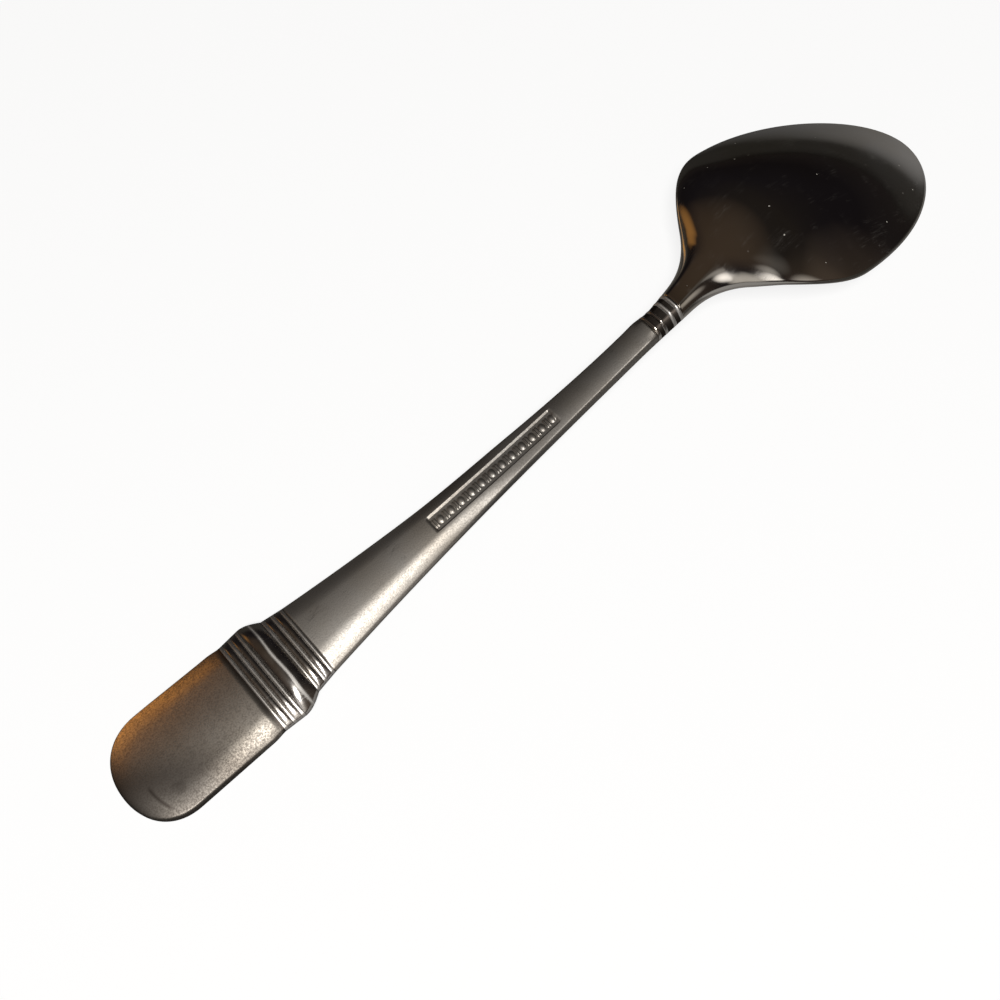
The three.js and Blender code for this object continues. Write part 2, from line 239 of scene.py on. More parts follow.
def back_fall(distance, reach, fall):
    if distance >= reach:
        return edge_fall(distance)
    return fall * (1 - distance / reach) ** 2 + edge_fall(distance)


WELD = 1e-4


def strike(name, places, back, front, across_steps, rounding, edge=from_outline, spread=None):
    """Mesh of one stretch of the blank: a grid wrapped over the back and the front at each place along x."""
    loops = []
    for x in places:
        half = half_width(x)
        reach, fall = rounding(x)
        ys = [half * math.sin(math.pi / 2 * i / across_steps) for i in range(across_steps + 1)]
        back_ys = spread(x) if spread else ys
        side = [(y, back(x, y) - back_fall(edge(x, y), reach, fall)) for y in back_ys]
        side += [(y, front(x, y) + edge_fall(edge(x, y))) for y in reversed(ys)]
        loops.append([(-y, z) for y, z in reversed(side)] + side[1:])
    stations, around = len(places) - 1, len(loops[0]) - 1
    mesh = bmesh.new()
    bmesh.ops.create_grid(mesh, x_segments=stations, y_segments=around, size=1)
    for vertex in mesh.verts:
        station = round((vertex.co.x + 1) / 2 * stations)
        y, z = loops[station][round((vertex.co.y + 1) / 2 * around)]
        vertex.co = Vector((NECK + places[station], y, z)) * MM
    bmesh.ops.remove_doubles(mesh, verts=mesh.verts, dist=WELD * MM)
    for face in mesh.faces:
        face.smooth = True
    open_edges = [seam for seam in mesh.edges if seam.is_boundary]
    for seam in open_edges:
        seam.smooth = False
    if open_edges:
        bmesh.ops.holes_fill(mesh, edges=open_edges, sides=0)
    bmesh.ops.recalc_face_normals(mesh, faces=mesh.faces)
    data = bpy.data.meshes.new(name)
    mesh.to_mesh(data)
    mesh.free()
    piece = bpy.data.objects.new(name, data)
    bpy.context.scene.collection.objects.link(piece)
    return piece


def evenly(start, end, steps):
    return [mix(start, end, i / steps) for i in range(steps + 1)]


def crowding(start, end, steps):
    """Places that crowd towards the end, where an outline closes."""
    return [mix(start, end, math.sin(math.pi / 2 * i / steps)) for i in range(steps + 1)]


RIM_LAND = 1.1
LIP_ROUNDING = 0.25
HOLLOW_START = 5.5
BACK_POWER = 1.08
HEEL_POWER = 0.84
HEEL_LENGTH = 24.0
HOLLOW_HEEL_POWER = 2.0
HOLLOW_RISE_POWER = 1.6
CREST_START = 5.5
CREST_END = 12.9
GROOVE_DEPTH = 0.18
GROOVE_SLOPE = 0.25
RELIEF_POWER = 4


def heel_share(x):
    return 1 - ease(x, SHOULDER_PLACE, SHOULDER_PLACE + HEEL_LENGTH)


def plain_crest(x):
    """Height of the back's middle line, without the heel."""
    dome = BOWL_DEPTH * bowl_share(x, 0, BOWL_LENGTH, SHOULDER_POWER) ** (2 * BACK_POWER)
    return front_height(x) + side_height(x) + (dome if x > 0 else crown(x))


def crest_slope(x):
    step = 0.1
    return (plain_crest(x + step) - plain_crest(x - step)) / (2 * step)


def crest(x):
    """Height of the back's middle line: the heel is one curve from the neck up to the dome."""
    if x <= -CREST_START or x >= CREST_END:
        return plain_crest(x)
    length = CREST_START + CREST_END
    start, end = plain_crest(-CREST_START), plain_crest(CREST_END)
    share = (x + CREST_START) / length
    return cubic(share, start, crest_slope(-CREST_START), end, crest_slope(CREST_END), length)


def bowl_back(x, y):
    half = half_width(x)
    n = y / half if half > 0 else 0.0
    edge = front_height(x) + side_height(x)
    if x > 0:
        power = mix(BACK_POWER, HEEL_POWER, heel_share(x))
    else:
        power = mix(1, HEEL_POWER, ease(x, -CREST_START, 0))
    groove = GROOVE_DEPTH * max(0.0, 1 - (NECK_BAND_START + x) / GROOVE_SLOPE)
    return edge + (crest(x) - edge) * max(0.0, 1 - n * n) ** power - groove * (1 - n ** RELIEF_POWER)


def bowl_front(x, y):
    end = BOWL_LENGTH - RIM_LAND
    share = bowl_share(x, HOLLOW_START, end, HOLLOW_HEEL_POWER)
    half = (BOWL_HALF - RIM_LAND) * share
    if half <= abs(y):
        return front_height(x)
    full = BOWL_DEPTH + RIM_THICKNESS - BOWL_WALL
    depth = full * share ** mix(2 * BACK_POWER, HOLLOW_RISE_POWER, heel_share(x))
    depth *= (1 - (y / half) ** 2) ** BACK_POWER
    return front_height(x) + math.hypot(depth, LIP_ROUNDING) - LIP_ROUNDING


GROOVE_STEPS = 4
HEEL_STEPS = 60
SHOULDER_STEPS = 44
TIP_STEPS = 90
BOWL_ACROSS = 60
groove_end = -NECK_BAND_START + 2 * GROOVE_SLOPE
bowl_places = evenly(-NECK_BAND_START, groove_end, GROOVE_STEPS)
bowl_places += evenly(groove_end, SHOULDER_PLACE, HEEL_STEPS)[1:]
bowl_places += evenly(SHOULDER_PLACE, BOWL_WIDEST, SHOULDER_STEPS)[1:]
bowl_places += crowding(BOWL_WIDEST, BOWL_LENGTH, TIP_STEPS)[1:]
bowl = strike("bowl_shell", bowl_places, bowl_back, bowl_front, BOWL_ACROSS, neck_rounding)


def fill_socket(tree, socket, value):
    """Gives a node's input a link or a value."""
    if isinstance(value, bpy.types.NodeSocket):
        tree.links.new(value, socket)
    else:
        socket.default_value = value


def add(tree, kind, **sockets):
    """A shader node, with values or links for its inputs."""
    node = tree.nodes.new(kind)
    for name, value in sockets.items():
        fill_socket(tree, node.inputs[name.replace("_", " ")], value)
    return node


def new_group(name, inputs, outputs):
    """Shader node group with named sockets. Returns its tree, its inputs' node and its outputs' node."""
    tree = bpy.data.node_groups.new(name, "ShaderNodeTree")
    for in_out, sockets in (("INPUT", inputs), ("OUTPUT", outputs)):
        for socket, kind in sockets.items():
            tree.interface.new_socket(socket, in_out=in_out, socket_type="NodeSocket" + kind)
    return tree, tree.nodes.new("NodeGroupInput").outputs, tree.nodes.new("NodeGroupOutput").inputs


def use_group(tree, group, **sockets):
    node = tree.nodes.new("ShaderNodeGroup")
    node.node_tree = group
    for name, value in sockets.items():
        fill_socket(tree, node.inputs[name], value)
    return node.outputs


def object_places(tree):
    return tree.nodes.new("ShaderNodeTexCoord").outputs["Object"]


def noise(tree, places, scale, detail):
    node = add(tree, "ShaderNodeTexNoise", Vector=places, Scale=scale, Detail=detail)
    return node.outputs["Fac"]


def span(tree, value, low, high, to_low=0.0, to_high=1.0):
    """A value between low and high, stretched to another range and held inside it."""
    node = add(
        tree, "ShaderNodeMapRange",
        Value=value, From_Min=low, From_Max=high, To_Min=to_low, To_Max=to_high
    )
    return node.outputs["Result"]


def math_node(tree, operation, a, b):
    node = tree.nodes.new("ShaderNodeMath")
    node.operation = operation
    fill_socket(tree, node.inputs[0], a)
    fill_socket(tree, node.inputs[1], b)
    return node.outputs["Value"]


def blend_colours(tree, share, first, second):
    node = tree.nodes.new("ShaderNodeMix")
    node.data_type = "RGBA"
    for name, value in (("Factor_Float", share), ("A_Color", first), ("B_Color", second)):
        fill_socket(tree, next(s for s in node.inputs if s.identifier == name), value)
    return next(s for s in node.outputs if s.identifier == "Result_Color")


# Uneven toning of the plate, darkened where a mask gives tarnish in hollows and painted shade
PATCH_DETAIL = 3.0
PATCH_SPAN = (0.35, 0.7)
toning, given, made = new_group(
    "toning",
    {"Silver": "Color", "Toned": "Color", "Tarnish": "Color", "Recess": "Float", "Scale": "Float"},
    {"Color": "Color"},
)
patches = span(toning, noise(toning, object_places(toning), given["Scale"], PATCH_DETAIL), *PATCH_SPAN)
plate = blend_colours(toning, patches, given["Silver"], given["Toned"])
toning.links.new(blend_colours(toning, given["Recess"], plate, given["Tarnish"]), made["Color"])

# Hairline scratches: noise stretched along a direction, cut down to its ridges, in two directions
HAIRLINE_WAYS = ((0.5, 26.0), (-0.85, 38.0))
RIDGE_DETAIL = 2.0
GAP_SCALE = 10.0
GAP_DETAIL = 1.0
GAP_SPAN = (0.58, 0.72)
hairlines, given, made = new_group("hairlines", {"Scale": "Float", "Width": "Float"}, {"Mask": "Float"})
lines = []
for turn, stretch in HAIRLINE_WAYS:
    mapping = add(
        hairlines, "ShaderNodeMapping",
        Vector=object_places(hairlines), Rotation=(0, 0, turn), Scale=(1, stretch, 1)
    )
    ridge = noise(hairlines, mapping.outputs["Vector"], given["Scale"], RIDGE_DETAIL)
    middle = math_node(hairlines, "ABSOLUTE", math_node(hairlines, "SUBTRACT", ridge, 0.5), 0.0)
    thin = math_node(hairlines, "DIVIDE", middle, given["Width"])
    line = math_node(hairlines, "MAXIMUM", math_node(hairlines, "SUBTRACT", 1.0, thin), 0.0)
    gaps = noise(hairlines, object_places(hairlines), GAP_SCALE * stretch, GAP_DETAIL)
    lines.append(math_node(hairlines, "MULTIPLY", line, span(hairlines, gaps, *GAP_SPAN)))
hairlines.links.new(math_node(hairlines, "MAXIMUM", *lines), made["Mask"])

# Specks of dust and dried water, far apart
DUST_CHOICE = (0.55, 0.85)
dust, given, made = new_group("dust", {"Scale": "Float", "Size": "Float"}, {"Mask": "Float"})
cells = add(dust, "ShaderNodeTexVoronoi", Vector=object_places(dust), Scale=given["Scale"])
speck = math_node(dust, "LESS_THAN", cells.outputs["Distance"], given["Size"])
chosen = add(dust, "ShaderNodeSeparateColor", Color=cells.outputs["Color"]).outputs["Red"]
dust.links.new(math_node(dust, "MULTIPLY", speck, span(dust, chosen, *DUST_CHOICE)), made["Mask"])


def new_material(name):
    material = bpy.data.materials.new(name)
    material.use_nodes = True
    return material, material.node_tree, material.node_tree.nodes["Principled BSDF"].inputs


def bumped(tree, height, strength, depth):
    """Normal of a surface with that height, at a real depth in millimetres."""
    node = add(tree, "ShaderNodeBump", Height=height, Strength=strength, Distance=depth * MM)
    return node.outputs["Normal"]


def finish_piece(piece, material, node):
    piece.data.materials.append(material)
    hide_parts(node)
    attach(piece, "root")


MIRROR_SILVER = (0.66, 0.63, 0.6, 1)
MIRROR_TONED = (0.58, 0.53, 0.46, 1)
GRAZING_TINT = (0.45, 0.44, 0.43, 1)
TARNISH_AND_SHADE = (0.05, 0.042, 0.036, 1)
MIRROR_PATCHES = 70.0
MIRROR_ROUGHNESS = (0.1, 0.15)
MIRROR_BUMP = (0.6, 0.02)
WAVE_SCALE, WAVE_DETAIL = 160.0, 1.0
SMUDGE_SCALE, SMUDGE_DETAIL = 130.0, 4.0
SMUDGE_SPAN = (0.45, 0.75)
SCRATCH_HAZE = 0.05
SCRATCH_ROUGHNESS = 0.12
SCRATCH_HEIGHT = -0.15
DUST = (0.42, 0.4, 0.36, 1)
DUST_ROUGHNESS = 0.5
mirror, tree, surface = new_material("mirror_polish")
tone = use_group(
    tree, toning, Silver=MIRROR_SILVER, Toned=MIRROR_TONED, Tarnish=TARNISH_AND_SHADE, Scale=MIRROR_PATCHES
)["Color"]
scratches = use_group(tree, hairlines, Scale=90.0, Width=0.014)["Mask"]
specks = use_group(tree, dust, Scale=480.0, Size=0.06)["Mask"]
tree.links.new(blend_colours(tree, specks, tone, DUST), surface["Base Color"])
marked = math_node(tree, "MAXIMUM", specks, math_node(tree, "MULTIPLY", scratches, SCRATCH_HAZE))
tree.links.new(math_node(tree, "SUBTRACT", 1.0, marked), surface["Metallic"])
smudges = span(tree, noise(tree, object_places(tree), SMUDGE_SCALE, SMUDGE_DETAIL), *SMUDGE_SPAN)
dull = span(tree, smudges, 0, 1, *MIRROR_ROUGHNESS)
dull = math_node(tree, "ADD", dull, math_node(tree, "MULTIPLY", scratches, SCRATCH_ROUGHNESS))
dull = math_node(tree, "ADD", dull, math_node(tree, "MULTIPLY", specks, DUST_ROUGHNESS))
tree.links.new(dull, surface["Roughness"])
waves = noise(tree, object_places(tree), WAVE_SCALE, WAVE_DETAIL)
scratched = math_node(tree, "ADD", waves, math_node(tree, "MULTIPLY", scratches, SCRATCH_HEIGHT))
tree.links.new(bumped(tree, scratched, *MIRROR_BUMP), surface["Normal"])
surface["Specular Tint"].default_value = GRAZING_TINT
finish_piece(bowl, mirror, "bowl")


# Neck band
# Narrow neck between the bowl and the stem, crossed by four raised threads in two pairs, which the dies
# strike into the blank. Its plate is polished. The flats between the threads stay dark with tarnish, where
# polishing never reaches, while the threads carry a painted highlight: a brighter colour, and more
# roughness.
NECK_THREAD = 0.55
NECK_INNER_GAP = 0.73
NECK_THREAD_HEIGHT = 0.22
NECK_ACROSS = 30
ROLL_STEPS = 12
THINNEST = 1e-6
FRONT_RELIEF = 0.5


def placed(rolls, start):
    """Rolls across the handle, as (start, end, height), from their lengths and heights."""
    row = []
    for length, height in rolls:
        row.append((start, start + length, height))
        start += length
    return row


def roll_height(rolls, s):
    """Height of half-round rolls over the plain back, down to the grooves between them."""
    for start, end, height in rolls:
        if start <= s <= end:
            across = 2 * (s - start) / (end - start) - 1
            return -GROOVE_DEPTH + (height + GROOVE_DEPTH) * math.sqrt(max(0.0, 1 - across * across))
    return -GROOVE_DEPTH


def roll_places(rolls):
    """Places along x that crowd into the grooves beside each roll."""
    places = [-rolls[0][0]]
    for start, end, height in rolls:
        for i in range(1, ROLL_STEPS + 1):
            places.append(-mix(start, end, (1 - math.cos(math.pi * i / ROLL_STEPS)) / 2))
    return places[::-1]


def handle_back(relief):
    """Height of the handle's back, with a relief along it that dies out at the edges."""
    def height(x, y):
        n = y / max(half_width(x), THINNEST)
        plain = front_height(x) + side_height(x) + crown(x) * max(0.0, 1 - n * n)
        return plain + relief(-x) * (1 - n ** RELIEF_POWER)
    return height


def handle_front(relief):
    """Height of the handle's front, with the same relief at a lower height."""
    def height(x, y):
        n = y / max(half_width(x), THINNEST)
        return front_height(x) - relief(-x) * FRONT_RELIEF * (1 - n ** RELIEF_POWER)
    return height


def struck_band(name, rolls, across_steps, rounding):
    def relief(s):
        return roll_height(rolls, s)
    back, front = handle_back(relief), handle_front(relief)
    return strike(name, roll_places(rolls), back, front, across_steps, rounding)


neck_length = STEM_START - NECK_BAND_START
neck_middle_gap = neck_length - 4 * NECK_THREAD - 2 * NECK_INNER_GAP
neck_thread = (NECK_THREAD, NECK_THREAD_HEIGHT)
neck_rolls = placed([
    neck_thread, (NECK_INNER_GAP, -GROOVE_DEPTH), neck_thread, (neck_middle_gap, -GROOVE_DEPTH),
    neck_thread, (NECK_INNER_GAP, -GROOVE_DEPTH), neck_thread,
], NECK_BAND_START)
neck_band = struck_band("neck_threads", neck_rolls, NECK_ACROSS, neck_rounding)

TARNISH_RISE = 0.6
THREAD_HIGHLIGHT = 0.45


def depth_among(rolls):
    """Tarnish mask of a band: full in the bottom of a groove, none on the crests."""
    highest = max(height for start, end, height in rolls)

    def depth(x, y):
        return 1 - ease(roll_height(rolls, -x), -GROOVE_DEPTH, mix(-GROOVE_DEPTH, highest, TARNISH_RISE))
    return depth


def highlight_lines_among(rolls):
    """Mask of the thin threads of a band, which carry a painted highlight: a brighter, rougher line."""
    threads = [(start, end) for start, end, height in rolls if height > 0 and end - start <= NECK_THREAD]

    def highlight_lines(x, y):
        return THREAD_HIGHLIGHT * any(start <= -x <= end for start, end in threads)
    return highlight_lines


def mask(tree, name):
    """A mask that is stored at the points of a piece."""
    node = tree.nodes.new("ShaderNodeAttribute")
    node.attribute_name = name
    return node.outputs["Fac"]


def set_mask(piece, name, value_at):
    layer = piece.data.attributes.new(name, "FLOAT", "POINT")
    for vertex in piece.data.vertices:
        layer.data[vertex.index].value = value_at(vertex.co.x / MM - NECK, vertex.co.y / MM)


STRUCK_SILVER = (0.64, 0.615, 0.59, 1)
STRUCK_TONED = (0.54, 0.49, 0.43, 1)
STRUCK_PATCHES = 240.0
STRUCK_ROUGHNESS = (0.2, 0.26)
STRUCK_BUMP = (0.2, 0.02)
UNEVEN_SCALE, UNEVEN_DETAIL = 900.0, 3.0
UNEVEN_SPAN = (0.3, 0.7)
RIPPLE_SCALE, RIPPLE_DETAIL = 420.0, 1.0
TARNISH_ROUGHNESS = 0.25
STRUCK_SCRATCH_ROUGHNESS = 0.2
# Brighter plate on the threads and along the collar's top: a painted highlight, with more roughness
HIGHLIGHT_SILVER = (0.7, 0.68, 0.65, 1)
HIGHLIGHT_ROUGHNESS = 0.5
struck, tree, surface = new_material("struck_polish")
tarnish_and_shade = mask(tree, "tarnish_and_shade")
highlight_lines = mask(tree, "highlight_lines")
tone = use_group(
    tree, toning,
    Silver=STRUCK_SILVER, Toned=STRUCK_TONED, Tarnish=TARNISH_AND_SHADE, Recess=tarnish_and_shade, Scale=STRUCK_PATCHES
)["Color"]
tree.links.new(blend_colours(tree, highlight_lines, tone, HIGHLIGHT_SILVER), surface["Base Color"])
scratches = use_group(tree, hairlines, Scale=150.0, Width=0.02)["Mask"]
uneven = noise(tree, object_places(tree), UNEVEN_SCALE, UNEVEN_DETAIL)
dull = span(tree, uneven, *UNEVEN_SPAN, *STRUCK_ROUGHNESS)
dull = math_node(tree, "ADD", dull, math_node(tree, "MULTIPLY", tarnish_and_shade, TARNISH_ROUGHNESS))
dull = math_node(tree, "ADD", dull, math_node(tree, "MULTIPLY", highlight_lines, HIGHLIGHT_ROUGHNESS))
dull = math_node(tree, "ADD", dull, math_node(tree, "MULTIPLY", scratches, STRUCK_SCRATCH_ROUGHNESS))
tree.links.new(dull, surface["Roughness"])
ripples = noise(tree, object_places(tree), RIPPLE_SCALE, RIPPLE_DETAIL)
tree.links.new(bumped(tree, ripples, *STRUCK_BUMP), surface["Normal"])
surface["Metallic"].default_value = 1
surface["Specular Tint"].default_value = GRAZING_TINT
set_mask(neck_band, "tarnish_and_shade", depth_among(neck_rolls))
set_mask(neck_band, "highlight_lines", highlight_lines_among(neck_rolls))
finish_piece(neck_band, struck, "neck_band")


# Stem
# Shank of the same blank, which widens towards the hand, with a low crown and a sunken panel in its back.
# The dies strike a row of beads and reels into the panel. Its plate has a satin finish, with painted shade
# that darkens it towards the neck.
STEM_END_HALF = 6.1
UPPER_BAND_START = behind_neck("upper_band")[0]
HANDLE_ROUNDING = 0.5
ROUND_AGAIN = (36.0, 54.0)


def stem_half(s):
    along = (s - STEM_START) / (UPPER_BAND_START - STEM_START)
    return mix(NECK_HALF, STEM_END_HALF, along * along)


handle_widths.append((STEM_START, stem_half))


def handle_rounding(x):
    """Reach and fall of the handle's back: what is left of the neck's, crisp edges, then round again."""
    reach, fall = neck_rounding(x)
    return reach, fall + HANDLE_ROUNDING * side_height(x) * ease(-x, *ROUND_AGAIN)


PANEL_START = 18.8
PANEL_LENGTH = 23.1
PANEL_HALF = 1.2
PANEL_DEPTH = 0.35
PANEL_WALL = 0.16
BEAD_PITCH = 1.92
BEAD_SIZE = 0.5
BEAD_STRETCH = 1.3
REEL_SIZE = 0.16
REEL_PLACE = 0.75
REEL_PITCH = 2.4
REEL_STRETCH = 1.5
ORNAMENT_HEIGHT = 0.2
panel_near = STEM_START + PANEL_START
panel_far = panel_near + PANEL_LENGTH


def ornament(along, y):
    """Height of the row of beads, each followed by two thin reels."""
    place = (along / BEAD_PITCH) % 1 * BEAD_PITCH - BEAD_SIZE
    bead = 1 - (place / BEAD_SIZE) ** 2 - (y / (BEAD_STRETCH * BEAD_SIZE)) ** 2
    height = math.sqrt(max(0.0, bead))
    for reel in (REEL_PLACE, REEL_PLACE + REEL_PITCH * REEL_SIZE):
        line = 1 - ((place - reel) / REEL_SIZE) ** 2 - (y / (REEL_STRETCH * BEAD_SIZE)) ** 4
        height = max(height, math.sqrt(max(0.0, line)))
    return ORNAMENT_HEIGHT * height


def stem_relief(s):
    to_groove = min(s - STEM_START, UPPER_BAND_START - s)
    return -GROOVE_DEPTH * max(0.0, 1 - to_groove / GROOVE_SLOPE)


def panel_depth(s, y):
    """Depth of the panel under the crown, as a share, with sloping walls."""
    ends = min(s - panel_near, panel_far - s) / PANEL_WALL
    sides = (PANEL_HALF - abs(y)) / PANEL_WALL + 1
    return min(1.0, max(0.0, min(ends, sides)))


plain_stem_back = handle_back(stem_relief)


def stem_back(x, y):
    share = panel_depth(-x, y)
    if share == 0:
        return plain_stem_back(x, y)
    floor = front_height(x) + side_height(x) + crown(x) - PANEL_DEPTH
    return mix(plain_stem_back(x, y), floor + ornament(-x - panel_near, y), share)


LOWER_STEM_STEPS = 60
PANEL_STEPS = 300
UPPER_STEM_STEPS = 40
PANEL_ACROSS = 16
STEM_ACROSS = 24


def stem_spread(x):
    """Places across the stem, with rows along the panel's walls."""
    inner = evenly(0, PANEL_HALF, PANEL_ACROSS)
    return inner + crowding(PANEL_HALF + PANEL_WALL, half_width(x), STEM_ACROSS)


lower_groove_end = -UPPER_BAND_START + 2 * GROOVE_SLOPE
upper_groove_start = -STEM_START - 2 * GROOVE_SLOPE
stem_places = evenly(-UPPER_BAND_START, lower_groove_end, GROOVE_STEPS)
stem_places += evenly(lower_groove_end, -panel_far, LOWER_STEM_STEPS)[1:]
stem_places += [-panel_far + PANEL_WALL]
stem_places += evenly(-panel_far + PANEL_WALL, -panel_near - PANEL_WALL, PANEL_STEPS)[1:]
stem_places += [-panel_near]
stem_places += evenly(-panel_near, upper_groove_start, UPPER_STEM_STEPS)[1:]
stem_places += evenly(upper_groove_start, -STEM_START, GROOVE_STEPS)[1:]
stem = strike(
    "satin_stem", stem_places, stem_back, handle_front(stem_relief), STEM_ACROSS, handle_rounding,
    spread=stem_spread
)

# Painted shade: the stem darkens towards the neck, above the hand
UPPER_STEM_PAINTED_SHADE = 0.5
PAINTED_SHADE_FADE = (40.0, 58.0)
PANEL_TARNISH = 0.3


def stem_tarnish_and_shade(x, y):
    """Tarnish on the panel's floor and in the grooves at both ends, painted shade on the part above the
    hand.
    """
    groove = -stem_relief(-x) / GROOVE_DEPTH
    raised = ease(ornament(-x - panel_near, y), 0, TARNISH_RISE * ORNAMENT_HEIGHT)
    floor = panel_depth(-x, y) * (1 - raised)
    darker_tone = UPPER_STEM_PAINTED_SHADE * (1 - ease(-x, *PAINTED_SHADE_FADE))
    return max(groove, darker_tone, PANEL_TARNISH * floor)


# Fine even grain of a blasted or satin surface
GRAIN_DETAIL = 2.0
COARSE_SCALE = 0.31
COARSE_SHARE = 0.25
GRAIN_SPAN = (0.47, 0.78)
grain, given, made = new_group("grain", {"Scale": "Float"}, {"Height": "Float", "Tone": "Float"})
coarse_scale = math_node(grain, "MULTIPLY", given["Scale"], COARSE_SCALE)
fine = noise(grain, object_places(grain), given["Scale"], GRAIN_DETAIL)
coarse = noise(grain, object_places(grain), coarse_scale, GRAIN_DETAIL)
both = math_node(grain, "ADD", fine, math_node(grain, "MULTIPLY", coarse, COARSE_SHARE))
grain.links.new(both, made["Height"])
grain.links.new(span(grain, both, *GRAIN_SPAN), made["Tone"])

SATIN_SILVER = (0.65, 0.62, 0.58, 1)
SATIN_TONED = (0.58, 0.53, 0.465, 1)
SATIN_PATCHES = 110.0
SATIN_GRAIN = 4600.0
SATIN_CONTRAST = 0.4
SATIN_ROUGHNESS = (0.51, 0.43)
SATIN_BUMP = (0.7, 0.01)
SATIN_SCRATCH_POLISH = 0.12


def satin(name, silver, darker_tone, contrast, roughness, marks=None):
    """Satin plate with a fine grain. Marks makes a mask of dark wear in the material's tree."""
    material, tree, surface = new_material(name)
    tone = use_group(
        tree, toning,
        Silver=silver, Toned=darker_tone, Tarnish=TARNISH_AND_SHADE, Recess=mask(tree, "tarnish_and_shade"), Scale=SATIN_PATCHES
    )["Color"]
    grains = use_group(tree, grain, Scale=SATIN_GRAIN)
    speckled = blend_colours(tree, span(tree, grains["Tone"], 0, 1, contrast, 0), tone, TARNISH_AND_SHADE)
    if marks:
        speckled = blend_colours(tree, marks(tree), speckled, TARNISH_AND_SHADE)
    tree.links.new(speckled, surface["Base Color"])
    scratches = use_group(tree, hairlines, Scale=120.0, Width=0.015)["Mask"]
    polished = math_node(tree, "MULTIPLY", scratches, SATIN_SCRATCH_POLISH)
    rough = span(tree, grains["Tone"], 0, 1, *roughness)
    tree.links.new(math_node(tree, "SUBTRACT", rough, polished), surface["Roughness"])
    tree.links.new(bumped(tree, grains["Height"], *SATIN_BUMP), surface["Normal"])
    surface["Metallic"].default_value = 1
    surface["Specular Tint"].default_value = GRAZING_TINT
    return material


satin_field = satin("satin_field", SATIN_SILVER, SATIN_TONED, SATIN_CONTRAST, SATIN_ROUGHNESS)
set_mask(stem, "tarnish_and_shade", stem_tarnish_and_shade)
finish_piece(stem, satin_field, "stem")


# Collar and reeded bands
# A pillow-shaped collar, where the handle steps out to the width of its end, between two bands of half-round
# reeds and thin threads, all struck across the handle. Their plate is polished. The threads and a line along
# the collar's top carry a painted highlight, a brighter and rougher plate, and the grooves are dark with
# tarnish.
THREAD = 0.46
THREAD_HEIGHT = 0.06
REED_HEIGHT = 0.12
COLLAR_HEIGHT = 0.75
UPPER_BAND_HALF = 6.65
COLLAR_HALF = 8.0
LOWER_BAND_HALF = 7.75
BAND_ACROSS = 44
COLLAR_STEPS = 48
COLLAR_START = behind_neck("upper_band")[1]
LOWER_BAND_START, TAB_START = behind_neck("lower_band")


def upper_band_half(s):
    along = (s - UPPER_BAND_START) / (COLLAR_START - UPPER_BAND_START)
    return mix(STEM_END_HALF, UPPER_BAND_HALF, along)


def collar_half(s):
    along = (s - COLLAR_START) / (LOWER_BAND_START - COLLAR_START)
    return mix(UPPER_BAND_HALF, COLLAR_HALF, math.sin(along * math.pi / 2))


def lower_band_half(s):
    along = (s - LOWER_BAND_START) / (TAB_START - LOWER_BAND_START)
    return mix(COLLAR_HALF, LOWER_BAND_HALF, along)


handle_widths.append((UPPER_BAND_START, upper_band_half))
handle_widths.append((COLLAR_START, collar_half))
handle_widths.append((LOWER_BAND_START, lower_band_half))


def reeded(start, end):
    """A band of two broad reeds between three threads."""
    reed = ((end - start - 3 * THREAD) / 2, REED_HEIGHT)
    thread = (THREAD, THREAD_HEIGHT)
    return placed([thread, reed, thread, reed, thread], start)


upper_rolls = reeded(UPPER_BAND_START, COLLAR_START)
upper_band = struck_band("upper_reeds", upper_rolls, BAND_ACROSS, handle_rounding)
set_mask(upper_band, "tarnish_and_shade", depth_among(upper_rolls))
set_mask(upper_band, "highlight_lines", highlight_lines_among(upper_rolls))
finish_piece(upper_band, struck, "upper_band")

collar_rolls = [(COLLAR_START, LOWER_BAND_START, COLLAR_HEIGHT)]
collar_places = [
    -mix(COLLAR_START, LOWER_BAND_START, (1 + math.cos(math.pi * i / COLLAR_STEPS)) / 2)
    for i in range(COLLAR_STEPS + 1)
]


def collar_relief(s):
    return roll_height(collar_rolls, s)


collar = strike(
    "pillow_collar", collar_places, handle_back(collar_relief), handle_front(collar_relief), BAND_ACROSS,
    handle_rounding
)

# A painted highlight line along the collar's top, which wobbles across it
COLLAR_HIGHLIGHT_PLACE = 0.47
COLLAR_HIGHLIGHT_REACH = 0.1
COLLAR_HIGHLIGHT_WOBBLE = 0.02
WOBBLE_TURNS, WOBBLE_START = 0.9, 1


def collar_highlight_line(x, y):
    """Mask of the painted highlight line along the top of the collar."""
    along = (-x - COLLAR_START) / (LOWER_BAND_START - COLLAR_START)
    wobble = COLLAR_HIGHLIGHT_WOBBLE * math.sin(WOBBLE_TURNS * y + WOBBLE_START)
    return max(0.0, 1 - abs(along - COLLAR_HIGHLIGHT_PLACE - wobble) / COLLAR_HIGHLIGHT_REACH)


set_mask(collar, "tarnish_and_shade", depth_among(collar_rolls))
set_mask(collar, "highlight_lines", collar_highlight_line)
finish_piece(collar, struck, "collar")

# The lower band has the same reeds and threads. Its last thread runs out into a hollow curve on the end tab.
lower_rolls = reeded(LOWER_BAND_START, TAB_START)
lower_band = struck_band("lower_reeds", lower_rolls, BAND_ACROSS, handle_rounding)
set_mask(lower_band, "tarnish_and_shade", depth_among(lower_rolls))
set_mask(lower_band, "highlight_lines", highlight_lines_among(lower_rolls))
finish_piece(lower_band, struck, "lower_band")


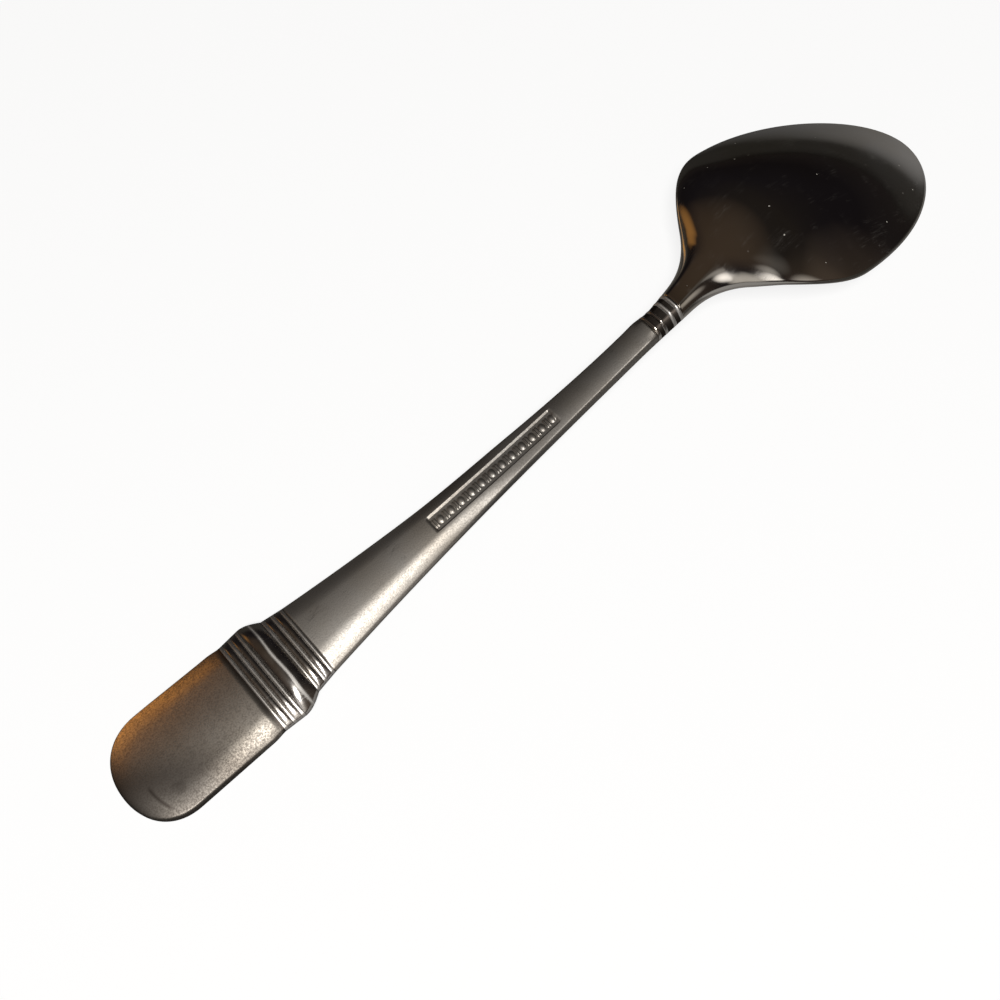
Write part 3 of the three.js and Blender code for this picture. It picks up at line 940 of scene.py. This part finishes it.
# End tab
# End of the blank, with round corners and a crown like the stem's. It is flat underneath, where it lies on
# the table. Its plate has a blasted grain, a scuff and a smudge near the end, and painted shade at one
# corner.
TAB_WIDTH_RUN = 2.0
TAB_ROUNDING = 7.1
TAB_END_POWER = 2.2
TAB_COVE = 0.9
TAB_END_ROUNDING = 0.12
TAB_END_CRISP = 6.0
TAB_END_STEPS = 60
TAB_STEPS = 50
COVE_STEPS = 12
TAB_ACROSS = 44


def tab_half(s):
    half = mix(LOWER_BAND_HALF, TAB_HALF, ease(s, TAB_START, TAB_START + TAB_WIDTH_RUN))
    to_end = max(0.0, HANDLE_LENGTH - s)
    if to_end < TAB_ROUNDING:
        half *= rounded_side(1 - to_end / TAB_ROUNDING, TAB_END_POWER)
    return half


handle_widths.append((TAB_START, tab_half))


def from_tab_outline(x, y):
    """Distance from a point to the tab's outline, seen from above."""
    past_rounding = -x - (HANDLE_LENGTH - TAB_ROUNDING)
    if past_rounding > 0:
        return inside_oval(past_rounding, abs(y), TAB_ROUNDING, TAB_HALF, TAB_END_POWER)
    return from_outline(x, y)


def tab_rounding(x):
    """Reach and fall of the tab's back towards its edge: round like the stem, and crisp at the end."""
    part = mix(HANDLE_ROUNDING, TAB_END_ROUNDING, ease(-x, TAB_START, HANDLE_LENGTH - TAB_END_CRISP))
    return BACK_ROUNDING, part * side_height(x)


def tab_relief(s):
    return -GROOVE_DEPTH * (1 - ease(s, TAB_START, TAB_START + TAB_COVE))


tab_places = crowding(-HANDLE_LENGTH + TAB_ROUNDING, -HANDLE_LENGTH, TAB_END_STEPS)[::-1]
tab_places += evenly(-HANDLE_LENGTH + TAB_ROUNDING, -TAB_START - TAB_COVE, TAB_STEPS)[1:]
tab_places += evenly(-TAB_START - TAB_COVE, -TAB_START, COVE_STEPS)[1:]
end_tab = strike(
    "grained_tab", tab_places, handle_back(tab_relief), handle_front(tab_relief), TAB_ACROSS, tab_rounding,
    edge=from_tab_outline
)

# Painted shade: the tab darkens towards its end, most of all at one corner
TAB_SHADE_RUN = (12.0, 1.0)
TAB_SHADE_SHARE = 0.75
TAB_SHADE_LEAN = 1.6


def tab_tarnish_and_shade(x, y):
    """Tarnish in the cove by the lower band, and painted shade at the end, darkest at one corner."""
    to_end = HANDLE_LENGTH + x + TAB_SHADE_LEAN * y
    return max(-tab_relief(-x) / GROOVE_DEPTH, TAB_SHADE_SHARE * ease(to_end, *TAB_SHADE_RUN))


SCUFF_CENTRE = (-62.9, -2.1)
SCUFF_RADIUS = 9.8
SCUFF_WIDTH = 0.35
SCUFF_FROM, SCUFF_TO = -6.4, -1.6
SCUFF_FADE = 0.8
SMUDGE_CENTRE = (-69.5, -4.4)
SMUDGE_RADIUS = 1.3
SMUDGE_CORE = 0.3
FLECK_SCALE, FLECK_DETAIL = 900.0, 3.0
FLECK_SPAN = (0.4, 0.65)
FLECK_SHARE = (0.1, 0.8)


def distance_from(tree, centre):
    """Distance on the table's plane from a point in millimetres, also in millimetres."""
    mapping = add(
        tree, "ShaderNodeMapping",
        Vector=object_places(tree), Location=(-centre[0], -centre[1], 0), Scale=(1 / MM, 1 / MM, 0)
    )
    node = tree.nodes.new("ShaderNodeVectorMath")
    node.operation = "LENGTH"
    tree.links.new(mapping.outputs["Vector"], node.inputs[0])
    return node.outputs["Value"]


def tab_marks(tree):
    """A dark curved scuff near the end, and a smudge beside it."""
    off_arc = math_node(tree, "SUBTRACT", distance_from(tree, SCUFF_CENTRE), SCUFF_RADIUS)
    arc = span(tree, math_node(tree, "ABSOLUTE", off_arc, 0.0), 0, SCUFF_WIDTH, 1, 0)
    across = add(tree, "ShaderNodeSeparateXYZ", Vector=object_places(tree)).outputs["Y"]
    begun = span(tree, across, SCUFF_FROM * MM, (SCUFF_FROM + SCUFF_FADE) * MM)
    ended = span(tree, across, (SCUFF_TO - SCUFF_FADE) * MM, SCUFF_TO * MM, 1, 0)
    scuff = math_node(tree, "MULTIPLY", math_node(tree, "MULTIPLY", begun, ended), arc)
    flecks = noise(tree, object_places(tree), FLECK_SCALE, FLECK_DETAIL)
    flecks = span(tree, flecks, *FLECK_SPAN, *FLECK_SHARE)
    off_smudge = distance_from(tree, SMUDGE_CENTRE)
    smudge = span(tree, off_smudge, SMUDGE_CORE * SMUDGE_RADIUS, SMUDGE_RADIUS, 1, 0)
    return math_node(tree, "MAXIMUM", scuff, math_node(tree, "MULTIPLY", smudge, flecks))


BLASTED_SILVER = (0.41, 0.38, 0.34, 1)
BLASTED_TONED = (0.36, 0.32, 0.27, 1)
BLASTED_CONTRAST = 0.6
BLASTED_ROUGHNESS = (0.5, 0.42)
blasted_field = satin(
    "blasted_field", BLASTED_SILVER, BLASTED_TONED, BLASTED_CONTRAST, BLASTED_ROUGHNESS, tab_marks
)
set_mask(end_tab, "tarnish_and_shade", tab_tarnish_and_shade)
finish_piece(end_tab, blasted_field, "end_tab")


# Table and paper
# The spoon lies loose on a sheet of white paper, on a pale table top that shows beyond the sheet.
# The tip of the bowl's rim and the flat under the handle's end touch it.
SHEET_SIZE = (0.297, 0.21)
SHEET_CORNER = (0.118, 0.008)
SHEET_TURN = math.radians(40.0)
SHEET_DROP = 0.02
TABLE_SIZE = 3.0
TABLE_DROP = 0.4


def flat_stage(name, width, length, place, turn, drop):
    mesh = bmesh.new()
    bmesh.ops.create_grid(mesh, x_segments=1, y_segments=1, size=0.5)
    bmesh.ops.scale(mesh, vec=(width, length, 1), verts=mesh.verts)
    bmesh.ops.rotate(mesh, matrix=Matrix.Rotation(turn, 3, "Z"), verts=mesh.verts)
    bmesh.ops.translate(mesh, vec=(place[0], place[1], -drop * MM), verts=mesh.verts)
    data = bpy.data.meshes.new(name)
    mesh.to_mesh(data)
    mesh.free()
    sheet = bpy.data.objects.new(name, data)
    bpy.context.scene.collection.objects.link(sheet)
    return sheet


to_middle = Matrix.Rotation(SHEET_TURN, 2) @ Vector((-SHEET_SIZE[0] / 2, SHEET_SIZE[1] / 2))
sheet_place = Vector(SHEET_CORNER) + to_middle
paper = flat_stage("paper", *SHEET_SIZE, sheet_place, SHEET_TURN, SHEET_DROP)
table = flat_stage("table_top", TABLE_SIZE, TABLE_SIZE, (0, 0), 0, TABLE_DROP)

# The paper is white to the camera. To the metal it is a painted shade, dim, with a painted glow that the
# metal mirrors bright around the bowl and on the handle's near side, and amber in a patch beyond the neck.
# It keeps part of the spoon's shadow.
WHITE = (1, 1, 1, 1)
PAPER_WHITE = (0.95, 0.95, 0.95, 1)
PAPER_PAINTED_SHADE = (0.05, 0.049, 0.047, 1)
PAPER_ROUGHNESS = 0.9
PAPER_SHINE = 0.1
PAPER_GLOW = 0.8
MIRRORED_GLOW = 0.26
PAINTED_GLOW_MIDDLE = 0.049
PAINTED_GLOW_HALF = 0.029
PAINTED_GLOW_REACH = (0.008, 0.034)
NEAR_GLOW = 0.3
NEAR_SIDE = (-0.012, -0.004)
HANDLE_SIDE = (0.012, 0.026)
AMBER = (1, 0.5, 0.1, 1)
AMBER_GLOW = 0.75
AMBER_CENTRE = (12.0, 55.0)
AMBER_REACH = (6.0, 20.0)
paper_white, tree, surface = new_material("paper_white")
path = tree.nodes.new("ShaderNodeLightPath").outputs
# White to the camera, and a painted shade to every other ray
tree.links.new(blend_colours(tree, path["Is Camera Ray"], PAPER_PAINTED_SHADE, PAPER_WHITE), surface["Base Color"])
surface["Roughness"].default_value = PAPER_ROUGHNESS
surface["Specular IOR Level"].default_value = PAPER_SHINE

# Distance from a line under the bowl, along the spoon
PAINTED_GLOW_STEPS = (
    ("SUBTRACT", PAINTED_GLOW_MIDDLE),
    ("ABSOLUTE", 0),
    ("SUBTRACT", PAINTED_GLOW_HALF),
    ("MAXIMUM", 0),
    ("LENGTH", 0),
)
away = object_places(tree)
for operation, offset in PAINTED_GLOW_STEPS:
    node = tree.nodes.new("ShaderNodeVectorMath")
    node.operation = operation
    tree.links.new(away, node.inputs[0])
    node.inputs[1].default_value = (offset, 0, 0)
    away = node.outputs["Value" if operation == "LENGTH" else "Vector"]
# A painted glow on the paper, which only the metal's mirror sees
around_bowl = span(tree, away, *PAINTED_GLOW_REACH, MIRRORED_GLOW, 0)
place = add(tree, "ShaderNodeSeparateXYZ", Vector=object_places(tree)).outputs
on_near_side = span(tree, place["Y"], *NEAR_SIDE, NEAR_GLOW, 0)
by_handle = math_node(tree, "MULTIPLY", on_near_side, span(tree, place["X"], *HANDLE_SIDE, 1, 0))
warm = span(tree, distance_from(tree, AMBER_CENTRE), *AMBER_REACH, 1, 0)
painted_glow = math_node(tree, "MAXIMUM", around_bowl, by_handle)
painted_glow = math_node(tree, "MAXIMUM", painted_glow, math_node(tree, "MULTIPLY", warm, AMBER_GLOW))
mirrored = math_node(tree, "MAXIMUM", path["Is Glossy Ray"], path["Is Transmission Ray"])
mirrored = math_node(tree, "MULTIPLY", mirrored, painted_glow)
seen = math_node(tree, "MULTIPLY", path["Is Camera Ray"], PAPER_GLOW)
warm = math_node(tree, "MULTIPLY", warm, math_node(tree, "SUBTRACT", 1.0, path["Is Camera Ray"]))
glow = add(tree, "ShaderNodeEmission", Color=blend_colours(tree, warm, WHITE, AMBER), Strength=1.0)
glowing = tree.nodes.new("ShaderNodeMixShader")
tree.links.new(math_node(tree, "MAXIMUM", seen, mirrored), glowing.inputs["Fac"])
tree.links.new(tree.nodes["Principled BSDF"].outputs["BSDF"], glowing.inputs[1])
tree.links.new(glow.outputs["Emission"], glowing.inputs[2])
tree.links.new(glowing.outputs["Shader"], tree.nodes["Material Output"].inputs["Surface"])
paper.data.materials.append(paper_white)

# The table is pale to the camera, and to the metal it is painted dim, a painted shade for its distance from
# the lamp
TABLE_PALE = (0.66, 0.65, 0.63, 1)
TABLE_PAINTED_SHADE = (0.03, 0.029, 0.027, 1)
TABLE_ROUGHNESS = 0.85
VEIN_SHADE = 0.9
VEIN_SCALE, VEIN_DETAIL = 30.0, 3.0
VEIN_SPAN = (0.3, 0.7)
table_pale, tree, surface = new_material("table_pale")
surface["Roughness"].default_value = TABLE_ROUGHNESS
path = tree.nodes.new("ShaderNodeLightPath").outputs
darker = tuple(VEIN_SHADE * channel for channel in TABLE_PALE[:3]) + (1,)
veined = span(tree, noise(tree, object_places(tree), VEIN_SCALE, VEIN_DETAIL), *VEIN_SPAN)
seen_colour = blend_colours(tree, veined, TABLE_PALE, darker)
tree.links.new(blend_colours(tree, path["Is Camera Ray"], TABLE_PAINTED_SHADE, seen_colour), surface["Base Color"])
table.data.materials.append(table_pale)


# Light
# A soft box behind the camera lights everything but the bowl. A fill in the same place lights the bowl's
# dust and scratches without showing in its mirror, and a small amber card warms the handle's end.
# The metal mirrors a dim room with a few soft glows, brown over the handle and pale beside it.
SOFT_BOX_PLACE = (-0.231, -0.296, 0.65)
SOFT_BOX_AIM = (0, 0, 0)
SOFT_BOX_SIZE = (0.17, 0.17)
SOFT_BOX_POWER = 5.8
SOFT_WHITE = (1, 0.985, 0.96)
AMBER_CARD_PLACE = (-0.08, 0.05, 0.02)
AMBER_CARD_AIM = (-0.066, 0.006, 0.002)
AMBER_CARD_SIZE = (0.03, 0.025)
AMBER_CARD_POWER = 0.0065
AMBER_LIGHT = (1, 0.42, 0.08)


def area_light(name, place, aim, size, power, colour):
    data = bpy.data.lights.new(name, "AREA")
    data.shape = "RECTANGLE"
    data.size, data.size_y = size
    data.energy = power
    data.color = colour
    lamp = bpy.data.objects.new(name, data)
    lamp.location = place
    lamp.rotation_euler = (Vector(aim) - Vector(place)).to_track_quat("-Z", "Y").to_euler()
    bpy.context.scene.collection.objects.link(lamp)
    return lamp


def link_light(lamp, name, piece, state):
    """Lets a lamp fall on one piece alone, or on all but that piece."""
    linked = bpy.data.collections.new(name)
    linked.objects.link(piece)
    linked.collection_objects[0].light_linking.link_state = state
    lamp.light_linking.receiver_collection = linked


soft_box = area_light("soft_box", SOFT_BOX_PLACE, SOFT_BOX_AIM, SOFT_BOX_SIZE, SOFT_BOX_POWER, SOFT_WHITE)
amber_card = area_light(
    "amber_card", AMBER_CARD_PLACE, AMBER_CARD_AIM, AMBER_CARD_SIZE, AMBER_CARD_POWER, AMBER_LIGHT
)
bowl_fill = area_light("bowl_fill", SOFT_BOX_PLACE, SOFT_BOX_AIM, SOFT_BOX_SIZE, SOFT_BOX_POWER, SOFT_WHITE)
bowl_fill.visible_glossy = False
link_light(soft_box, "soft_box_kept_off", bowl, "EXCLUDE")
link_light(bowl_fill, "fill_falls_on", bowl, "INCLUDE")
link_light(amber_card, "amber_falls_on", end_tab, "INCLUDE")

# The room's light by height, from the horizon up
ROOM_BANDS = (
    (0.0, (0.017, 0.014, 0.0135, 1)),
    (0.2, (0.009, 0.0075, 0.0085, 1)),
    (0.5, (0.01, 0.0085, 0.01, 1)),
    (0.9, (0.017, 0.014, 0.012, 1)),
)
world = bpy.data.worlds.new("dim_room")
world.use_nodes = True
bpy.context.scene.world = world
tree = world.node_tree
way = tree.nodes.new("ShaderNodeTexCoord").outputs["Generated"]
height = add(tree, "ShaderNodeSeparateXYZ", Vector=way).outputs["Z"]
room = add(tree, "ShaderNodeValToRGB", Fac=height)
stops = room.color_ramp.elements
for band, (place, colour) in enumerate(ROOM_BANDS):
    stop = stops[band] if band < 2 else stops.new(place)
    stop.position = place
    stop.color = colour

# Glows in the room, as direction, spread in degrees and colour
BLACK = (0, 0, 0, 1)
BROWN_OVERHEAD = ((-0.6, 0.35, 0.72), 42, (0.046, 0.031, 0.019, 1))
LOW_AMBER = ((-0.6, 0.79, 0.12), 16, (0.35, 0.17, 0.045, 1))
BROWN_NEAR_SIDE = ((-0.1, -0.9, 0.45), 50, (0.03, 0.022, 0.015, 1))
BROWN_BY_TIP = ((0.5, -0.78, 0.36), 40, (0.043, 0.033, 0.024, 1))
BRIGHT_BY_HAND = ((-0.8, -0.45, 0.42), 14, (1.6, 1.56, 1.5, 1))
PALE_ABOVE_HAND = ((-0.68, -0.32, 0.66), 12, (0.35, 0.34, 0.32, 1))
PALE_BEHIND_HANDLE = ((-0.95, -0.27, 0.18), 14, (0.6, 0.58, 0.54, 1))
PALE_NEAR_SIDE = ((-0.2, -0.84, 0.5), 20, (0.4, 0.38, 0.35, 1))
GREY_OVERHEAD = ((-0.38, -0.25, 0.89), 20, (0.07, 0.068, 0.064, 1))
ROOM_GLOWS = (
    BROWN_OVERHEAD, LOW_AMBER, BROWN_NEAR_SIDE, BROWN_BY_TIP, BRIGHT_BY_HAND,
    PALE_ABOVE_HAND, PALE_BEHIND_HANDLE, PALE_NEAR_SIDE, GREY_OVERHEAD,
)
room_light = room.outputs["Color"]
for direction, spread, colour in ROOM_GLOWS:
    aim = tree.nodes.new("ShaderNodeVectorMath")
    aim.operation = "DOT_PRODUCT"
    tree.links.new(way, aim.inputs[0])
    aim.inputs[1].default_value = Vector(direction).normalized()
    share = span(tree, aim.outputs["Value"], math.cos(math.radians(spread)), 1.0)
    added = tree.nodes.new("ShaderNodeVectorMath")
    added.operation = "ADD"
    tree.links.new(room_light, added.inputs[0])
    tree.links.new(blend_colours(tree, share, BLACK, colour), added.inputs[1])
    room_light = added.outputs["Vector"]
tree.links.new(room_light, tree.nodes["Background"].inputs["Color"])


# Camera
# Held over the near side of the handle, looking down on the back of the spoon.
# It is turned a little from level, and its frame is shifted, as the photograph's is.
CAMERA_PLACE = (-49.67, -74.09, 163.5)
CAMERA_BACK = (-0.2726, -0.3971, 0.8763)
CAMERA_ROLL = math.radians(-9.137)
LENS = 45.884
SENSOR = 36
FRAME_SHIFT = (-0.0625, -0.0696)
NEAREST = 0.01
camera_data = bpy.data.cameras.new("camera")
camera_data.lens = LENS
camera_data.sensor_width = SENSOR
camera_data.shift_x, camera_data.shift_y = FRAME_SHIFT
camera_data.clip_start = NEAREST
camera = bpy.data.objects.new("camera", camera_data)
level = Vector(CAMERA_BACK).to_track_quat("Z", "Y").to_matrix()
turned = level @ Matrix.Rotation(CAMERA_ROLL, 3, "Z")
camera.matrix_world = Matrix.Translation(Vector(CAMERA_PLACE) * MM) @ turned.to_4x4()
bpy.context.scene.collection.objects.link(camera)
bpy.context.scene.camera = camera
bpy.context.scene.view_settings.view_transform = "Standard"
